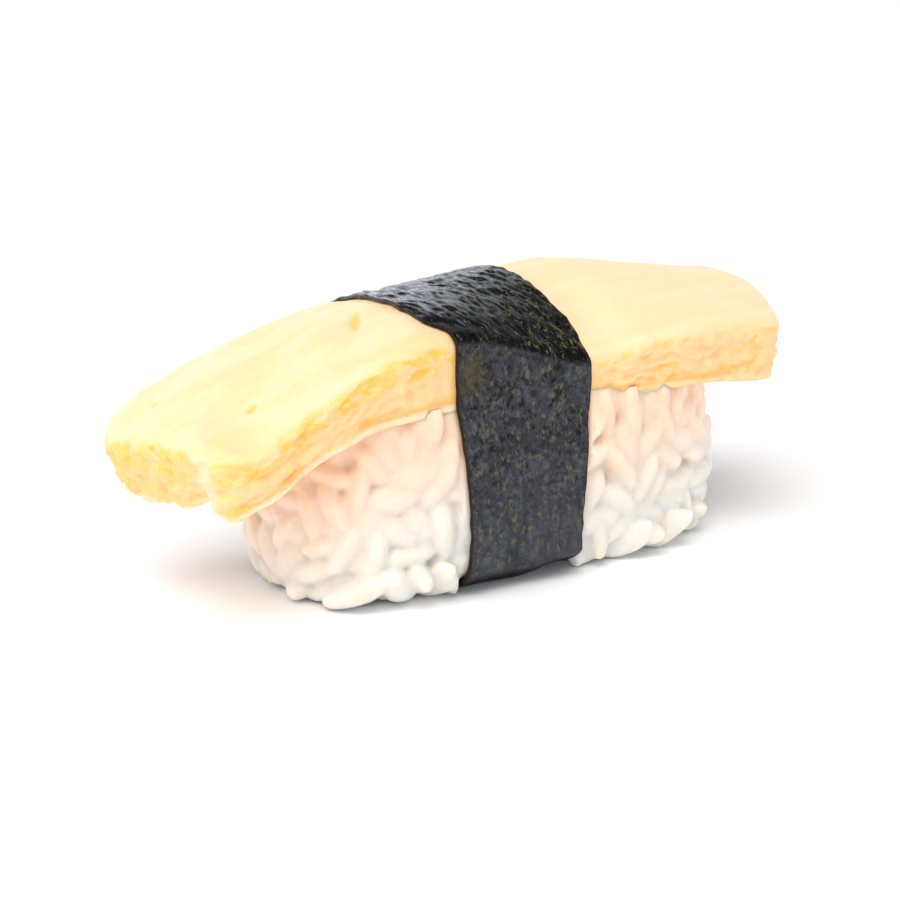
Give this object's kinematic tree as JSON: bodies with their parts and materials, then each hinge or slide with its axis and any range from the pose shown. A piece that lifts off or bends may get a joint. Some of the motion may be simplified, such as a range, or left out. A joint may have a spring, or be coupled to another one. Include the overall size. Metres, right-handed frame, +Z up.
{
  "type": "tamago nigiri",
  "caption": "Tamago nigiri: an omelette slice draped over a pressed block of rice and tied with a nori band.",
  "frame": {"origin": "on the floor under the middle of the nori band, in the flat underside of the nigiri", "axes": "+X along the omelette slice, towards its flatter end; -Y is the front; +Z is up"},
  "size_m": [0.0811, 0.0335, 0.0321],
  "materials": {
    "omelette": "moist satin omelette, pale yellow on top and golden on its cut faces",
    "nori": "dark green-black pressed seaweed, smooth and dull in front, wrinkled and glossy on top",
    "rice": "moist, translucent, slightly glossy cooked grains"
  },
  "bodies": {
    "root": {"egg_slice": "omelette", "nori_band": "nori", "rice_block": "rice"}
  },
  "joints": []
}
